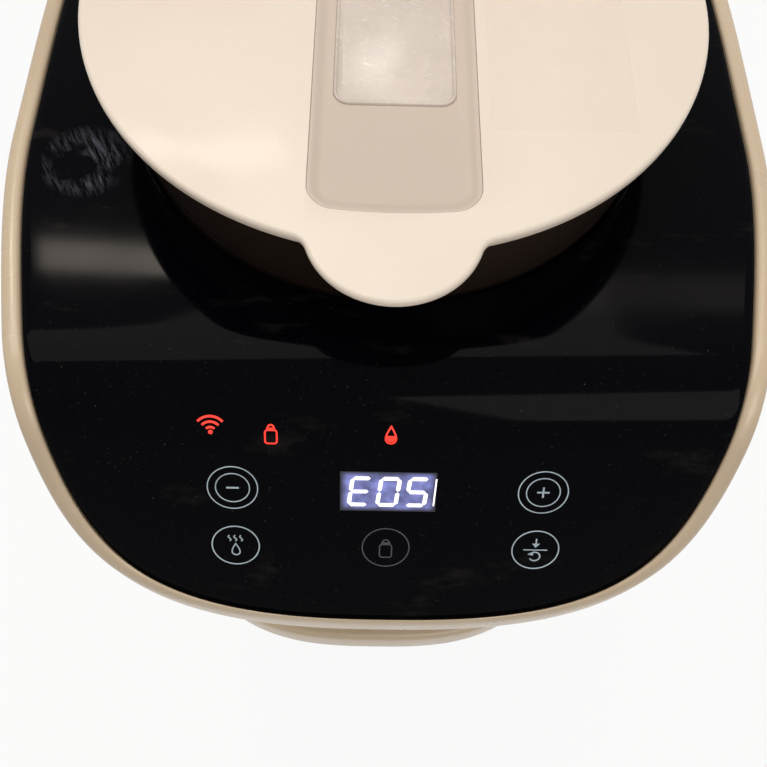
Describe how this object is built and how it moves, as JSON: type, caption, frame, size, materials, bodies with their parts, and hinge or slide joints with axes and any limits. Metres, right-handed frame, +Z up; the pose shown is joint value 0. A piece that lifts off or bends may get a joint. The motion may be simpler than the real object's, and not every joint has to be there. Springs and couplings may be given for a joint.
{
  "type": "baby formula maker",
  "caption": "Counter-top baby formula maker: round powder lid over a dosing wheel, sloped touch panel, pull-out mixing funnel, bottle platform and lift-off rear water tank.",
  "frame": {"origin": "on the table, under the centre of the powder lid, which is also the centre of the plan outline", "axes": "+Z up, the user stands at -Y, +X to the user's right"},
  "size_m": [0.2302, 0.304, 0.3203],
  "materials": {
    "cream_shell": "satin-gloss cream ABS",
    "cream_rim": "satin-gloss cream ABS bead",
    "lid_white": "warm white moulded plastic with fine wear scratches",
    "grey_plastic": "warm grey moulded plastic",
    "clear_plastic": "clear moulded plastic",
    "black_gloss": "high-gloss black panel",
    "smoke_plastic": "dark smoked plastic",
    "dark_plastic": "fine-textured dark grey plastic",
    "white_plastic": "white food-grade plastic",
    "grey_rubber": "matt silicone rubber",
    "motor_steel": "plain drawn steel",
    "pin_steel": "bright stainless wire",
    "silicone_hose": "milky silicone tube",
    "board_green": "green solder-masked circuit board"
  },
  "bodies": {
    "machine": {"base_shell": "cream_shell", "base_plate": "dark_plastic", "foot_1": "grey_rubber", "foot_2": "grey_rubber", "foot_3": "grey_rubber", "foot_4": "grey_rubber", "column_shell": "cream_shell", "head_shell": "cream_shell", "rear_panel": "dark_plastic", "head_underside": "dark_plastic", "top_panel": "black_gloss", "top_rim": "cream_rim", "powder_bay": "dark_plastic", "support_deck": "white_plastic", "gear_motor": "motor_steel", "powder_chute": "white_plastic", "water_nozzle": "white_plastic", "runner_left": "dark_plastic", "runner_right": "dark_plastic", "bottle_sensor": "black_gloss", "dock_socket": "white_plastic", "dock_seal": "grey_rubber", "water_pump": "dark_plastic", "heater_block": "motor_steel", "temperature_sensor": "dark_plastic", "hose_dock_pump": "silicone_hose", "hose_pump_heater": "silicone_hose", "hose_heater_nozzle": "silicone_hose", "power_board": "board_green", "control_board": "board_green", "display_module": "dark_plastic", "power_inlet": "dark_plastic", "switch_frame": "dark_plastic"},
    "powder_unit": {"powder_house": "smoke_plastic", "dosing_cover": "white_plastic", "lid_hinge_pin": "pin_steel"},
    "rotor": {"dosing_wheel": "white_plastic", "stirrer": "white_plastic", "rotor_cap": "grey_plastic"},
    "drive": {"drive_gear": "white_plastic"},
    "pinion": {"motor_pinion": "white_plastic"},
    "lid": {"powder_lid": "lid_white", "lid_strip": "grey_plastic", "lid_window": "clear_plastic", "lid_seal": "grey_rubber"},
    "funnel": {"mixing_funnel": "clear_plastic", "funnel_holder": "cream_shell"},
    "tray": {"drip_tray": "dark_plastic"},
    "grid": {"drip_grid": "grey_plastic"},
    "tank": {"water_tank": "clear_plastic", "tank_hinge_pin": "pin_steel", "valve_cage": "white_plastic", "valve_spring": "pin_steel"},
    "tank_cover": {"tank_lid": "smoke_plastic"},
    "float": {"tank_float": "white_plastic"},
    "valve": {"valve_plunger": "white_plastic"},
    "rocker": {"rocker_switch": "black_gloss"}
  },
  "joints": [
    {"name": "powder_lift", "type": "slide", "parent": "machine", "child": "powder_unit", "axis": [0, 0, 1], "range_m": [0, 0.1]},
    {"name": "lid_hinge", "type": "hinge", "parent": "powder_unit", "child": "lid", "pos_m": [0, 0.0862, 0.3137], "axis": [-1, 0, 0], "range_deg": [0, 90]},
    {"name": "rotor_turn", "type": "hinge", "parent": "powder_unit", "child": "rotor", "pos_m": [0, 0, 0.236], "axis": [0, 0, 1], "continuous": true},
    {"name": "drive_turn", "type": "hinge", "parent": "machine", "child": "drive", "pos_m": [0, 0, 0.212], "axis": [0, 0, 1], "continuous": true},
    {"name": "pinion_turn", "type": "hinge", "parent": "machine", "child": "pinion", "pos_m": [0, 0.023, 0.212], "axis": [0, 0, 1], "continuous": true},
    {"name": "funnel_slide", "type": "slide", "parent": "machine", "child": "funnel", "axis": [0, -1, 0], "range_m": [0, 0.1]},
    {"name": "tray_lift", "type": "slide", "parent": "machine", "child": "tray", "axis": [0, 0, 1], "range_m": [0, 0.06]},
    {"name": "grid_lift", "type": "slide", "parent": "tray", "child": "grid", "axis": [0, 0, 1], "range_m": [0, 0.04]},
    {"name": "tank_lift", "type": "slide", "parent": "machine", "child": "tank", "axis": [0, 0, 1], "range_m": [0, 0.25]},
    {"name": "tank_lid_hinge", "type": "hinge", "parent": "tank", "child": "tank_cover", "pos_m": [0, 0.1487, 0.2813], "axis": [-1, 0, 0], "range_deg": [0, 90]},
    {"name": "float_rise", "type": "slide", "parent": "tank", "child": "float", "axis": [0, 0, 1], "range_m": [0, 0.012]},
    {"name": "valve_rise", "type": "slide", "parent": "tank", "child": "valve", "axis": [0, 0, 1], "range_m": [0, 0.004], "stiffness_N_per_m": 200, "springref_m": -0.002, "deforming": ["valve_spring"]},
    {"name": "rocker_tip", "type": "hinge", "parent": "machine", "child": "rocker", "pos_m": [-0.034, 0.142, 0.021], "axis": [1, 0, 0], "range_deg": [-16, 0]}
  ],
  "couplings": [
    {"joint": "drive_turn", "follows": "rotor_turn", "ratio": 1},
    {"joint": "pinion_turn", "follows": "rotor_turn", "ratio": -2.8333}
  ]
}
